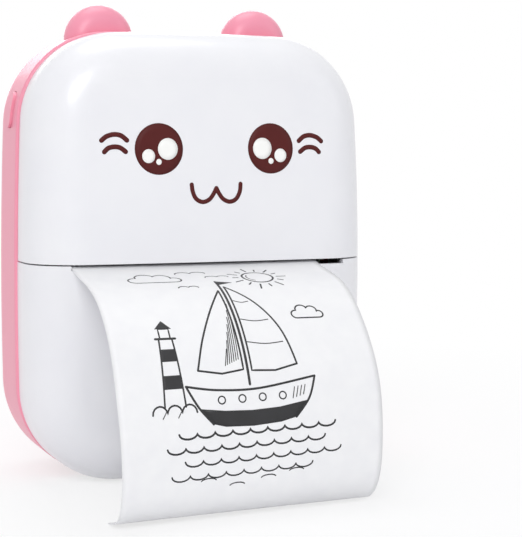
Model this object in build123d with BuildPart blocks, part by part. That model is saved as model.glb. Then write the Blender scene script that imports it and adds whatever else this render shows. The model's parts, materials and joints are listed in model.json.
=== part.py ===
from build123d import *
import math
import os

# Portable thermal printer, in millimetres.
# Origin at the middle of the flat base, +Z up, the printed paper comes out towards -Y.

# Casing
side_room = 8.25
case_height = 100.0
case_depth = 41.0
corner_radius = 21.0
side_bulge = 1.2
top_bulge = 0.8
wall = 1.8
seam_from_front = 18.9
rear_edge_radius = 9.0
front_edge_radius = 11.5
face_crown_radius = 500.0
front_inset = 0.6
rim_radius = 0.8
cover_seam_gap = 0.4
edge_below_roll = 28.0
parting_gap = 0.3
slot_height = 1.2
lip_thickness = 1.0
lip_reach = 2.2
lip_gap = 0.1

# Ears
ear_radius = 8.0
ear_height = 6.2
ear_depth = 9.0
ear_flat = 0.4
ear_setback = 2.0

# Cover hinge
hinge_below_top = 1.4
hinge_behind_seam = 1.8
hinge_pin_radius = 0.6
knuckle_radius = 1.3
knuckle_half_width = 9.0
knuckle_gap = 0.3
hinge_boss_width = 3.0
running_gap = 0.05

# Paper and its roll
paper_width = 57.0
paper_thickness = 0.2
roll_radius = 13.0
core_outer_radius = 8.4
core_bore_radius = 7.0
roll_corner_gap = 1.9
roll_from_seam = 1.1
drive_room = 6.5
roll_side_gap = 0.5
roll_seat_gap = 0.3
rib_gap = 1.0

# Paper bay
bay_wall = 1.2
roll_room = 1.2
bay_lip_angle = -110.0
bay_back_angle = 40.0
bay_cheek_rise = 8.6
bay_cheek_from_front = 8.5
bay_cheek_wall = 1.1

# Platen
platen_radius = 3.8
platen_shaft_radius = 1.25
platen_from_front = 10.0
platen_above_edge = 4.7
platen_sleeve_gap = 0.4
bushing_radius = 2.5
exit_angle = 8.0
paper_clearance = 0.3

# Carrier on the cover, with the tear bar
carrier_wall = 1.2
carrier_arm = 0.9
carrier_above_edge = 10.7
carrier_post_radius = 2.0
carrier_post_rise = 3.2
carrier_screw_radius = 0.8
carrier_screw_head_radius = 1.6
carrier_screw_head = 0.8
tear_bar_thickness = 0.4
tear_bar_from_front = 2.6
tear_bar_height = 4.2
tear_pitch = 1.1
tear_depth = 0.6
tear_above_edge = 0.3

# Mechanism frame and print head
cheek_wall = 1.0
cheek_gap = 0.2
plate_thickness = 1.2
plate_from_head = 2.2
heatsink_thickness = 2.0
heatsink_height = 11.0
ceramic_thickness = 0.75
ceramic_height = 8.8
head_gap = 0.25
head_pin_radius = 0.75
head_pin_below_platen = 6.8
head_lug_width = 3.0
head_lug_radius = 1.3

# Gears
gear_module = 0.5
pressure_angle = 20.0
platen_teeth = 18
idler_small_teeth = 14
idler_large_teeth = 32
pinion_teeth = 12
gear_width = 1.4
gear_side_gap = 0.25
backlash = 0.1
idler_bore_radius = 1.0
motor_radius = 6.0
motor_length = 14.0
motor_shaft_radius = 0.75
motor_shaft_depth = 5.0
motor_angle = 35.0

# Buttons on the sides
button_length = 8.0
button_width = 4.6
button_proud = 0.6
button_gap = 0.2
flange_margin = 0.8
flange_thickness = 1.0
button_from_seam = 6.6
power_button_below_top = 18.0
power_travel = 0.5
release_above_edge = 7.5
release_from_seam = 7.2
release_travel = 1.2

# Catch between the cover and the release button
catch_height = 4.0
lug_thickness = 1.0
lug_from_wall = 1.6
tooth_reach = 0.8
tooth_depth = 1.2
catch_overlap = 0.6
catch_gap = 0.3
catch_depth = 1.0
catch_arm = 0.8
guide_width = 2.0
guide_thickness = 1.1
slider_thickness = 1.6

# Electronics
board_thickness = 1.2
board_side_gap = 3.6
board_low = 16.5
board_above_battery = 5.0
board_post_inset = 3.5
board_from_back = 2.5
board_post_radius = 2.0
board_peg_radius = 0.8
battery_width = 46.0
battery_below_motor = 3.9
battery_thickness = 7.0
battery_low = 5.0
battery_pad = 1.0
usb_width = 8.9
usb_depth = 3.2
usb_length = 7.5
usb_share = 0.294
led_share = 0.686
led_radius = 1.0

# Screws
screw_radius = 1.0
screw_head_radius = 1.9
screw_head = 1.3
boss_radius = 3.2
screw_slack = 0.15
case_boss_from_side = 12.0
case_boss_height = 12.0
case_boss_behind_seam = 3.6
case_screw_seat = 9.0
bay_boss_from_paper = 9.75
bay_boss_radius = 2.6

# Places worked out from the sizes above
slot_half_width = (paper_width + drive_room) / 2
case_width = 2 * (slot_half_width + side_room)
front_y = -case_depth / 2
back_y = case_depth / 2
seam_y = front_y + seam_from_front
cover_rear_y = seam_y - cover_seam_gap
corner_x = case_width / 2 - side_bulge - corner_radius
corner_z = case_height - top_bulge - corner_radius
corner_rise = math.sqrt((corner_radius - wall) ** 2 - (slot_half_width - corner_x) ** 2)
roll_height = corner_z + corner_rise - roll_corner_gap - roll_radius
roll_y = seam_y + roll_from_seam
cover_edge_height = roll_height - edge_below_roll
shell_top = cover_edge_height - parting_gap
slot_floor = cover_edge_height - slot_height
slot_back_y = front_y + 6.0
hinge_y = seam_y + hinge_behind_seam
hinge_z = case_height - hinge_below_top
paper_left = -slot_half_width
paper_right = paper_left + paper_width
platen_y = front_y + platen_from_front
platen_z = cover_edge_height + platen_above_edge
paper_wrap = platen_radius + paper_clearance + paper_thickness / 2
paper_back_y = platen_y + paper_wrap
paper_middle = (paper_left + paper_right) / 2
ear_x = case_width / 2 - corner_radius
ear_edge_radius = (ear_depth - ear_flat) / 2
carrier_height = cover_edge_height + carrier_above_edge
head_pin_height = platen_z - head_pin_below_platen
button_y = seam_y + button_from_seam
power_button_height = case_height - power_button_below_top
release_y = seam_y + release_from_seam
release_button_height = cover_edge_height + release_above_edge


def casing_outline(inset, base_inset, y):
    """Front view of the casing on the plane at depth y, drawn inwards."""
    half = case_width / 2 - side_bulge - inset
    high = case_height - top_bulge - inset
    middle = (base_inset + high) / 2
    with BuildSketch(Plane.XZ.offset(-y)) as outline:
        with BuildLine():
            Line((-half, base_inset), (half, base_inset))
            ThreePointArc((half, base_inset), (half + side_bulge, middle), (half, high))
            ThreePointArc((half, high), (0, high + top_bulge), (-half, high))
            ThreePointArc((-half, high), (-half - side_bulge, middle), (-half, base_inset))
        make_face()
        fillet(outline.vertices(), corner_radius - inset)
    return outline.sketch


def rear_form(inset):
    """Rear half of the casing as a solid, drawn inwards by inset."""
    with BuildPart() as form:
        extrude(casing_outline(inset, inset, seam_y), amount=seam_y + inset - back_y)
        fillet(form.faces().sort_by(Axis.Y)[-1].edges(), rear_edge_radius - inset)
    return form.part


def front_form(inset, rear_y):
    """White front of the casing as a solid, crowned and rounded, drawn inwards by inset."""
    with BuildPart() as form:
        extrude(casing_outline(front_inset + inset, inset, rear_y), amount=rear_y - front_y)
        with Locations((0, front_y + face_crown_radius, case_height / 2)):
            Sphere(face_crown_radius - inset, mode=Mode.INTERSECT)
        fillet(form.faces().sort_by(Axis.Y)[0].edges(), front_edge_radius - inset)
    return form.part


def slab(low, high, mode=Mode.INTERSECT):
    """Block that keeps only what lies between two heights."""
    reach = 2 * case_width
    with Locations((0, 0, (low + high) / 2)):
        Box(reach, reach, high - low, mode=mode)


def block(x0, x1, y0, y1, z0, z1, mode=Mode.ADD):
    """Plain block between two corners."""
    with Locations(((x0 + x1) / 2, (y0 + y1) / 2, (z0 + z1) / 2)):
        Box(x1 - x0, y1 - y0, z1 - z0, mode=mode)


def rod(radius, x0, x1, y, z, mode=Mode.ADD):
    """Round bar along X."""
    with Locations(Location(((x0 + x1) / 2, y, z), (0, 90, 0))):
        Cylinder(radius, x1 - x0, mode=mode)


def rod_y(radius, y0, y1, x, z, mode=Mode.ADD):
    """Round bar along Y."""
    with Locations(Location((x, (y0 + y1) / 2, z), (90, 0, 0))):
        Cylinder(radius, y1 - y0, mode=mode)


def pill(x0, x1, y, z, length, width, mode=Mode.ADD):
    """Upright rounded bar along X, long in Z."""
    with BuildSketch(Plane.YZ.offset(x0)) as outline:
        with Locations((y, z)):
            SlotOverall(length, width, rotation=90)
    extrude(outline.sketch, amount=x1 - x0, mode=mode)


def write(part, name):
    """Label the finished piece and write it."""
    part.label = name
    export_step(part, f"parts/{name}.step")


os.makedirs("parts", exist_ok=True)

# Forms of the casing
rear_solid = rear_form(0)
rear_cavity = rear_form(wall)
front_solid = front_form(0, seam_y)
front_cavity = front_form(wall, seam_y)
cover_room = front_form(wall + 0.25, seam_y)
rear_inner_y = back_y - wall
side_inner_x = case_width / 2 - wall
case_boss_meet = seam_y + case_boss_behind_seam
inside_front = front_form(wall / 2, case_boss_meet)

# Paper bay and roll places
bay_inner_radius = roll_radius + roll_room
bay_z = roll_height + bay_inner_radius - roll_radius - roll_seat_gap
bay_outer_radius = bay_inner_radius + bay_wall
bay_x0 = paper_left - roll_side_gap
bay_x1 = paper_right + roll_side_gap
bay_left_face = bay_x0 - bay_cheek_wall
bay_right_face = bay_x1 + bay_cheek_wall
bay_end = math.radians(bay_back_angle)
bay_boss_y = roll_y + bay_outer_radius * math.cos(bay_end) + 0.2
bay_boss_height = bay_z + bay_outer_radius * math.sin(bay_end) - 0.4

# Mechanism places along X
arm_left = paper_left - roll_side_gap - 0.3
arm_right = paper_right + roll_side_gap + 0.3
cheek_left = arm_left - carrier_arm - cheek_gap
cheek_right = arm_right + carrier_arm + cheek_gap
gear_x0 = cheek_right + cheek_wall + gear_side_gap
gear_x1 = gear_x0 + gear_width
large_x0 = gear_x1 + gear_side_gap
large_x1 = large_x0 + gear_width

# Mechanism places in the side view
ceramic_y = paper_back_y + paper_thickness / 2 + head_gap
heatsink_y = ceramic_y + ceramic_thickness
heatsink_back_y = heatsink_y + heatsink_thickness
plate_y = heatsink_back_y + plate_from_head
plate_back_y = plate_y + plate_thickness
platen_pitch = gear_module * platen_teeth / 2
small_pitch = gear_module * idler_small_teeth / 2
large_pitch = gear_module * idler_large_teeth / 2
pinion_pitch = gear_module * pinion_teeth / 2
idler_y = platen_y + platen_pitch + small_pitch
idler_z = platen_z
motor_reach = large_pitch + pinion_pitch
motor_y = idler_y + motor_reach * math.cos(math.radians(motor_angle))
motor_z = idler_z - motor_reach * math.sin(math.radians(motor_angle))
head_pin_y = heatsink_y + heatsink_thickness / 2
heatsink_low = head_pin_height + head_lug_radius + 0.9
heatsink_high = heatsink_low + heatsink_height
frame_high = heatsink_high + 0.8
frame_low = head_pin_height - head_pin_radius - 1.6
plate_low = heatsink_low - 0.6
mount_screw_z = heatsink_high - 2.1
mount_screws = [(cheek_left + 3.6, "left"), (cheek_right - 7.0, "right")]
case_boss_x = case_width / 2 - case_boss_from_side
case_bosses = [(-case_boss_x, "left"), (case_boss_x, "right")]
case_seat_y = case_boss_meet + case_screw_seat
bay_boss_x = slot_half_width - bay_boss_from_paper
bay_bosses = [(-bay_boss_x, "left"), (bay_boss_x, "right")]
bay_seat_y = back_y - wall + 0.7

# Catch places: lug and tooth on the cover, slider on the release button
lug_x1 = side_inner_x - front_inset - lug_from_wall
lug_x0 = lug_x1 - lug_thickness
tooth_y0 = seam_y + 2.0
catch_z0 = release_button_height - catch_height / 2
catch_z1 = release_button_height + catch_height / 2
nib_x1 = lug_x0 - tooth_reach + catch_overlap
slider_x0 = nib_x1 - catch_overlap - catch_arm
nib_y1 = tooth_y0 - catch_gap
slider_y0 = tooth_y0 + tooth_depth + 0.6
guide_x0 = slider_x0 + 0.2
flange_x0 = side_inner_x - 0.2 - flange_thickness

# Electronics places
battery_high = motor_z - motor_radius - battery_below_motor
board_high = battery_high + board_above_battery
board_back_y = rear_inner_y - board_from_back
board_y = board_back_y - board_thickness
port_x = side_inner_x - 1.6
board_width = 2 * (port_x - board_side_gap)
board_posts = [
    (side * (board_width / 2 - board_post_inset), z)
    for side in (-1, 1)
    for z in (board_low + board_post_inset, board_high - board_post_inset)
]
usb_y = board_y - usb_depth / 2
usb_height = board_low + usb_share * (board_high - board_low)
led_y = usb_y
led_height = board_low + led_share * (board_high - board_low)

# Side buttons: each is a rounded bar cut out of the casing's own form
hole_length = button_length + 2 * button_gap
hole_width = button_width + 2 * button_gap
usb_hole_width = usb_width + 0.6
usb_hole_depth = usb_depth + 0.6


def ear(side, radius, depth, edge):
    """Puffy round ear standing on the top of the casing."""
    middle_y = seam_y + ear_setback + ear_depth / 2
    middle_z = case_height + ear_height - ear_radius
    with BuildPart() as form:
        with BuildSketch(Plane.XZ.offset(-middle_y)):
            with Locations((side * ear_x, middle_z)):
                Circle(radius)
        extrude(amount=depth / 2, both=True)
        fillet(form.edges().filter_by(GeomType.CIRCLE), edge)
    return form.part


# Rear shell: pink half with the ears, bosses, button holes and the notch for the hinge
with BuildPart() as rear_shell:
    add(rear_solid)
    fillet(rear_shell.faces().sort_by(Axis.Y)[0].edges(), rim_radius)
    for side in (-1, 1):
        add(ear(side, ear_radius, ear_depth, ear_edge_radius))
    add(rear_cavity, mode=Mode.SUBTRACT)
    for side in (-1, 1):
        inner_depth = ear_depth - 2 * wall
        inner_radius = ear_radius - wall
        add(ear(side, inner_radius, inner_depth, ear_edge_radius - wall), mode=Mode.SUBTRACT)
    # Bosses for the case screws and the print mechanism, and pegs for the main board
    for x, name in case_bosses:
        rod_y(boss_radius, case_boss_meet, rear_inner_y + 0.5, x, case_boss_height)
    for x, name in mount_screws:
        rod_y(boss_radius - 0.7, plate_back_y, rear_inner_y + 0.5, x, mount_screw_z)
    for x, z in board_posts:
        rod_y(board_post_radius, board_back_y, rear_inner_y + 0.5, x, z)
        rod_y(board_peg_radius, board_y + 0.1, board_back_y, x, z)
    # Lugs that hold the hinge pin, each side of the knuckle notch
    for side in (-1, 1):
        inner_x = knuckle_half_width + knuckle_gap
        x0, x1 = sorted((side * inner_x, side * (inner_x + hinge_boss_width)))
        lug_top = case_height - wall / 2
        block(x0, x1, seam_y + 0.3, hinge_y + 1.5, hinge_z - 1.5, lug_top - top_bulge / 2)
    # Guides above and below the release slider
    for low in (catch_z0 - 0.3 - guide_thickness, catch_z1 + 0.3):
        block(guide_x0, guide_x0 + guide_width, slider_y0, rear_inner_y + 0.5, low,
              low + guide_thickness)
    notch_x = knuckle_half_width + knuckle_gap
    notch_y = hinge_y + knuckle_radius + knuckle_gap
    block(-notch_x, notch_x, seam_y - 1, notch_y, hinge_z - 3, case_height + 1, mode=Mode.SUBTRACT)
    pin_end = notch_x + hinge_boss_width
    rod(hinge_pin_radius, -pin_end, pin_end, hinge_y, hinge_z, mode=Mode.SUBTRACT)
    # Screw ways from the back
    for x, name in case_bosses:
        rod_y(screw_radius + screw_slack, case_boss_meet - 1, back_y, x, case_boss_height,
              mode=Mode.SUBTRACT)
        rod_y(screw_head_radius + 0.2, case_seat_y, back_y + 1, x, case_boss_height,
              mode=Mode.SUBTRACT)
    for x, name in mount_screws:
        rod_y(screw_radius, plate_back_y, plate_back_y + 6, x, mount_screw_z,
              mode=Mode.SUBTRACT)
    for x, name in bay_bosses:
        rod_y(screw_radius + screw_slack, rear_inner_y - 1, back_y + 1, x, bay_boss_height,
              mode=Mode.SUBTRACT)
        rod_y(screw_head_radius + 0.2, bay_seat_y, back_y + 1, x, bay_boss_height,
              mode=Mode.SUBTRACT)
    # Openings in the sides
    pill(-case_width, -side_inner_x + 4, button_y, power_button_height, hole_length,
         hole_width, mode=Mode.SUBTRACT)
    pill(side_inner_x - 0.2, case_width, release_y, release_button_height, hole_length,
         hole_width, mode=Mode.SUBTRACT)
    pill(port_x - 2, case_width, usb_y, usb_height, usb_hole_width, usb_hole_depth,
         mode=Mode.SUBTRACT)
    rod(led_radius, port_x, case_width, led_y, led_height, mode=Mode.SUBTRACT)
write(rear_shell.part, "rear_shell")

# Front shell: fixed white half below the slot, with a lip that locates it in the rear shell
with BuildPart() as front_bosses:
    for x, name in case_bosses:
        rod_y(boss_radius, front_y, case_boss_meet, x, case_boss_height)
    add(inside_front, mode=Mode.INTERSECT)
with BuildPart() as front_shell:
    add(front_solid)
    add(front_cavity, mode=Mode.SUBTRACT)
    lip_outer = wall + lip_gap
    lip_inner = lip_outer + lip_thickness
    lip_y = seam_y + lip_reach
    extrude(casing_outline(lip_outer, lip_outer, lip_y), amount=lip_reach + 3)
    extrude(casing_outline(lip_inner, lip_inner, lip_y + 1), amount=lip_reach + 6,
            mode=Mode.SUBTRACT)
    add(front_bosses.part)
    for x, name in case_bosses:
        rod_y(screw_radius, case_boss_meet - 8, case_boss_meet, x, case_boss_height,
              mode=Mode.SUBTRACT)
    slab(-1, shell_top)
    block(-slot_half_width, slot_half_width, front_y - 1, slot_back_y, slot_floor,
          case_height, mode=Mode.SUBTRACT)
write(front_shell.part, "front_shell")

# Cover: white upper half that swings up on the hinge between the ears
tear_y = front_y + tear_bar_from_front
carrier_posts = (paper_left + 7.75, paper_right - 5.25)
carrier_post_z = carrier_height + carrier_post_rise
with BuildPart() as cover_fittings:
    # Ribs that keep the roll in its bay, and posts for the platen carrier
    for x in (paper_middle - 18, paper_middle, paper_middle + 18):
        block(x - 0.6, x + 0.6, front_y, roll_y - roll_radius - rib_gap, roll_height - 9,
              roll_height + 11)
    for x in carrier_posts:
        rod_y(carrier_post_radius, front_y, tear_y + tear_bar_thickness, x, carrier_post_z)
    add(inside_front, mode=Mode.INTERSECT)
with BuildPart() as paper_cover:
    add(front_solid)
    add(front_cavity, mode=Mode.SUBTRACT)
    add(cover_fittings.part)
    for x in carrier_posts:
        rod_y(carrier_screw_radius, front_y + 1.9, tear_y + 2, x, carrier_post_z,
              mode=Mode.SUBTRACT)
    # Lug with a tooth, held by the release slider
    block(lug_x0, lug_x1, seam_y - 7, tooth_y0 + tooth_depth, catch_z0, catch_z1)
    block(lug_x0, side_inner_x - front_inset + 0.4, seam_y - 7, seam_y - 1.4, catch_z0,
          catch_z1)
    block(lug_x0 - tooth_reach, lug_x0, tooth_y0, tooth_y0 + tooth_depth, catch_z0, catch_z1)
    # Rear edge stands off the rim, apart from the lug
    extrude(casing_outline(-2, -2, seam_y), amount=cover_seam_gap, mode=Mode.SUBTRACT)
    block(lug_x0, lug_x1, cover_rear_y - 1, seam_y + 1, catch_z0, catch_z1)
    # Knuckle on an arm
    arm_top = case_height - front_inset - 0.15
    block(-knuckle_half_width, knuckle_half_width, seam_y - 2, hinge_y,
          hinge_z - knuckle_radius, arm_top)
    rod(knuckle_radius, -knuckle_half_width, knuckle_half_width, hinge_y, hinge_z)
    rod(hinge_pin_radius + running_gap, -knuckle_half_width, knuckle_half_width, hinge_y,
        hinge_z, mode=Mode.SUBTRACT)
    slab(cover_edge_height, case_height)
    # Seat of the tear bar behind the lower edge
    seat_x = slot_half_width - 0.05
    block(-seat_x, seat_x, tear_y, slot_back_y, slot_floor,
          cover_edge_height + tear_bar_height + 0.4, mode=Mode.SUBTRACT)
write(paper_cover.part, "paper_cover")

# Hinge pin
with BuildPart() as hinge_pin:
    rod(hinge_pin_radius, -pin_end, pin_end, hinge_y, hinge_z)
write(hinge_pin.part, "hinge_pin")

# Platen carrier: channel on the cover with arms that hold the bushings
carrier_y = tear_y + tear_bar_thickness
carrier_low = cover_edge_height + 1.6
carrier_x0 = arm_left - carrier_arm
carrier_x1 = arm_right + carrier_arm
with BuildPart() as platen_carrier:
    block(carrier_x0, carrier_x1, carrier_y, carrier_y + carrier_wall, carrier_low,
          carrier_height)
    block(carrier_x0, carrier_x1, carrier_y, platen_y + 1.6, carrier_height - carrier_wall,
          carrier_height)
    for x0, x1 in ((carrier_x0, arm_left), (arm_right, carrier_x1)):
        block(x0, x1, carrier_y, platen_y + 3.0, carrier_low, carrier_height)
    for x in carrier_posts:
        block(x - 3, x + 3, carrier_y, carrier_y + carrier_wall, carrier_height,
              carrier_height + 6)
        rod_y(carrier_screw_radius + screw_slack, carrier_y - 1, carrier_y + 2, x,
              carrier_post_z, mode=Mode.SUBTRACT)
    rod(bushing_radius, carrier_x0 - 1, carrier_x1 + 1, platen_y, platen_z,
        mode=Mode.SUBTRACT)
    add(cover_room, mode=Mode.INTERSECT)
write(platen_carrier.part, "platen_carrier")

for x, name in zip(carrier_posts, ("left", "right")):
    with BuildPart() as carrier_screw:
        head_y = carrier_y + carrier_wall
        rod_y(carrier_screw_head_radius, head_y, head_y + carrier_screw_head, x,
              carrier_post_z)
        rod_y(carrier_screw_radius, front_y + 2.0, head_y, x, carrier_post_z)
    write(carrier_screw.part, f"carrier_screw_{name}")

# Tear bar: steel strip with saw teeth pointing down into the slot
tear_half = slot_half_width - 0.15
tear_root = cover_edge_height + tear_above_edge
tear_count = int(2 * tear_half / tear_pitch)
with BuildPart() as tear_bar:
    with BuildSketch(Plane.XZ.offset(-tear_y)):
        with BuildLine():
            teeth_x0 = -tear_count * tear_pitch / 2
            points = [(tear_half, tear_root), (tear_half, tear_root + tear_bar_height)]
            points += [(-tear_half, tear_root + tear_bar_height), (-tear_half, tear_root)]
            for index in range(tear_count):
                x = teeth_x0 + index * tear_pitch
                points += [(x, tear_root), (x + tear_pitch / 2, tear_root - tear_depth)]
            points.append((teeth_x0 + tear_count * tear_pitch, tear_root))
            Polyline(*points, close=True)
        make_face()
    extrude(amount=-tear_bar_thickness)
write(tear_bar.part, "tear_bar")


def gear(teeth, phase, x0, width, bore, addendum=1.0):
    """Spur gear with involute teeth, its axis along X at the origin of the side view."""
    pitch = gear_module * teeth / 2
    base = pitch * math.cos(math.radians(pressure_angle))
    root = pitch - 1.25 * gear_module
    tip = pitch + addendum * gear_module
    half_tooth = math.pi / (2 * teeth) - backlash / (2 * pitch)
    pressure = math.radians(pressure_angle)
    rolled = math.tan(pressure) - pressure
    flank = []
    for step in range(4):
        radius = max(base, root) + (tip - max(base, root)) * step / 3
        angle = math.acos(min(1.0, base / radius))
        flank.append((radius, half_tooth + rolled - (math.tan(angle) - angle)))
    points = []
    for index in range(teeth):
        middle = math.radians(phase) + 2 * math.pi * index / teeth
        points.append((root, middle - flank[0][1]))
        points += [(radius, middle - offset) for radius, offset in flank]
        points += [(radius, middle + offset) for radius, offset in reversed(flank)]
        points.append((root, middle + flank[0][1]))
    outline = [(radius * math.cos(angle), radius * math.sin(angle)) for radius, angle in points]
    with BuildPart() as wheel:
        with BuildSketch(Plane.YZ.offset(x0)):
            with BuildLine():
                Polyline(*outline, close=True)
            make_face()
            Circle(bore, mode=Mode.SUBTRACT)
        extrude(amount=width)
    return wheel.part


# Platen: steel shaft, rubber sleeve and drive gear
shaft_x0 = cheek_left - cheek_wall - 0.7
with BuildPart() as platen_shaft:
    rod(platen_shaft_radius, shaft_x0, gear_x1, platen_y, platen_z)
    chamfer(platen_shaft.edges().filter_by(GeomType.CIRCLE), 0.2)
write(platen_shaft.part, "platen_shaft")

with BuildPart() as platen_sleeve:
    rod(platen_radius, arm_left + platen_sleeve_gap, arm_right - platen_sleeve_gap,
        platen_y, platen_z)
    chamfer(platen_sleeve.edges().filter_by(GeomType.CIRCLE), 0.3)
    rod(platen_shaft_radius, arm_left, arm_right, platen_y, platen_z, mode=Mode.SUBTRACT)
write(platen_sleeve.part, "platen_sleeve")

with BuildPart() as platen_gear:
    add(Pos(0, platen_y, platen_z)
        * gear(platen_teeth, 0, gear_x0, gear_width, platen_shaft_radius))
write(platen_gear.part, "platen_gear")

for x0, x1, name in ((cheek_left - cheek_wall, arm_left, "left"),
                     (arm_right, cheek_right + cheek_wall, "right")):
    with BuildPart() as bushing:
        rod(bushing_radius, x0, x1, platen_y, platen_z)
        rod(platen_shaft_radius + running_gap, x0, x1, platen_y, platen_z, mode=Mode.SUBTRACT)
    write(bushing.part, f"platen_bushing_{name}")

# Idler: small wheel drives the platen, large wheel is driven by the motor
with BuildPart() as idler_gear:
    add(Pos(0, idler_y, idler_z)
        * gear(idler_small_teeth, 180 + 180 / idler_small_teeth, gear_x0,
               gear_width + gear_side_gap, idler_bore_radius + running_gap))
    add(Pos(0, idler_y, idler_z)
        * gear(idler_large_teeth, -motor_angle, large_x0, gear_width,
               idler_bore_radius + running_gap, 0.8))
write(idler_gear.part, "idler_gear")

idler_end = large_x1 + 0.2
with BuildPart() as idler_axle:
    rod(idler_bore_radius, cheek_right, idler_end, idler_y, idler_z)
write(idler_axle.part, "idler_axle")

# Motor with its pinion
motor_x1 = cheek_right
motor_x0 = motor_x1 - motor_length
with BuildPart() as motor_can:
    rod(motor_radius, motor_x0, motor_x1, motor_y, motor_z)
    chamfer(motor_can.edges().filter_by(GeomType.CIRCLE), 0.4)
    rod(2.2, motor_x0 - 0.8, motor_x0, motor_y, motor_z)
    rod(motor_shaft_radius + running_gap, motor_x1 - motor_shaft_depth, motor_x1, motor_y,
        motor_z, mode=Mode.SUBTRACT)
write(motor_can.part, "motor_can")

with BuildPart() as motor_shaft:
    rod(motor_shaft_radius, motor_x1 - motor_shaft_depth + 0.2, large_x1, motor_y, motor_z)
write(motor_shaft.part, "motor_shaft")

with BuildPart() as motor_pinion:
    add(Pos(0, motor_y, motor_z)
        * gear(pinion_teeth, 180 - motor_angle + 180 / pinion_teeth, large_x0 - 0.1,
               gear_width + 0.1, motor_shaft_radius))
write(motor_pinion.part, "motor_pinion")

# Mechanism frame: back plate between two cheeks with open slots for the platen bushings
with BuildPart() as mechanism_frame:
    block(cheek_left - cheek_wall, cheek_right + cheek_wall, plate_y, plate_back_y, plate_low,
              frame_high)
    for x0 in (cheek_left - cheek_wall, cheek_right):
        with BuildSketch(Plane.YZ.offset(x0)):
            with BuildLine():
                nose_y = platen_y - bushing_radius
                Polyline((nose_y, platen_z - 3.7), (nose_y, platen_z + 4.4),
                         (nose_y + 5, frame_high), (plate_back_y, frame_high),
                         (plate_back_y, frame_low), (heatsink_y - 0.8, frame_low),
                         (heatsink_y - 2.0, platen_z - 3.7), close=True)
            make_face()
        extrude(amount=cheek_wall)
    with BuildSketch(Plane.YZ.offset(cheek_right)):
        with Locations((motor_y, motor_z)):
            Circle(motor_radius + 0.8)
        with Locations(((motor_y + plate_y) / 2, motor_z + 2)):
            Rectangle(motor_y - plate_y, motor_radius * 1.6)
    extrude(amount=cheek_wall)
    way = math.radians(13.5)
    with BuildSketch(Plane.YZ.offset(cheek_left - cheek_wall)):
        with Locations((platen_y, platen_z)):
            Circle(bushing_radius + 0.35)
        with Locations((platen_y - 8 * math.cos(way), platen_z + 8 * math.sin(way))):
            Circle(bushing_radius + 1.2)
        make_hull()
    extrude(amount=cheek_right + cheek_wall - cheek_left + cheek_wall, mode=Mode.SUBTRACT)
    for x, name in mount_screws:
        rod_y(screw_radius + screw_slack, plate_y - 1, plate_back_y + 1, x, mount_screw_z,
              mode=Mode.SUBTRACT)
    rod(head_pin_radius, cheek_left - 2, cheek_right + 2, head_pin_y, head_pin_height,
        mode=Mode.SUBTRACT)
    rod(idler_bore_radius, cheek_right - 1, cheek_right + 2, idler_y, idler_z,
        mode=Mode.SUBTRACT)
    rod(motor_shaft_radius + 0.3, cheek_right - 1, cheek_right + 2, motor_y, motor_z,
        mode=Mode.SUBTRACT)
write(mechanism_frame.part, "mechanism_frame")

for x, name in mount_screws:
    with BuildPart() as mount_screw:
        rod_y(screw_head_radius, plate_y - 0.9, plate_y, x, mount_screw_z)
        rod_y(screw_radius, plate_y, plate_back_y + 5.5, x, mount_screw_z)
    write(mount_screw.part, f"mechanism_screw_{name}")

# Print head: ceramic heater strip on an aluminium bar that rocks on its pin
heatsink_x0 = arm_left + 0.4
heatsink_x1 = arm_right - 0.4
head_lugs = (heatsink_x0 + 2.0, heatsink_x1 - 2.0 - head_lug_width)
with BuildPart() as head_heatsink:
    block(heatsink_x0, heatsink_x1, heatsink_y, heatsink_back_y, heatsink_low, heatsink_high)
    for x0 in head_lugs:
        block(x0, x0 + head_lug_width, heatsink_y, heatsink_back_y, head_pin_height,
              heatsink_low)
        rod(head_lug_radius, x0, x0 + head_lug_width, head_pin_y, head_pin_height)
    rod(head_pin_radius + running_gap, heatsink_x0, heatsink_x1, head_pin_y,
        head_pin_height, mode=Mode.SUBTRACT)
write(head_heatsink.part, "head_heatsink")

with BuildPart() as head_ceramic:
    block(paper_left, paper_right, ceramic_y, heatsink_y, heatsink_high - 0.9 - ceramic_height,
              heatsink_high - 0.9)
write(head_ceramic.part, "head_ceramic")

with BuildPart() as head_pin:
    rod(head_pin_radius, cheek_left - cheek_wall, cheek_right + cheek_wall, head_pin_y,
            head_pin_height)
write(head_pin.part, "head_pin")

# Leaf spring behind the head
with BuildPart() as head_spring:
    spring_x = paper_middle
    spring_z = head_pin_height + 8
    bow = plate_y - heatsink_back_y - 0.45
    with BuildSketch(Plane.YZ.offset(spring_x - 4)):
        with BuildLine():
            ThreePointArc((plate_y - 0.3, spring_z - 4), (plate_y - bow, spring_z),
                          (plate_y - 0.3, spring_z + 4))
        trace(line_width=0.25)
    extrude(amount=8)
write(head_spring.part, "head_spring")

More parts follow.
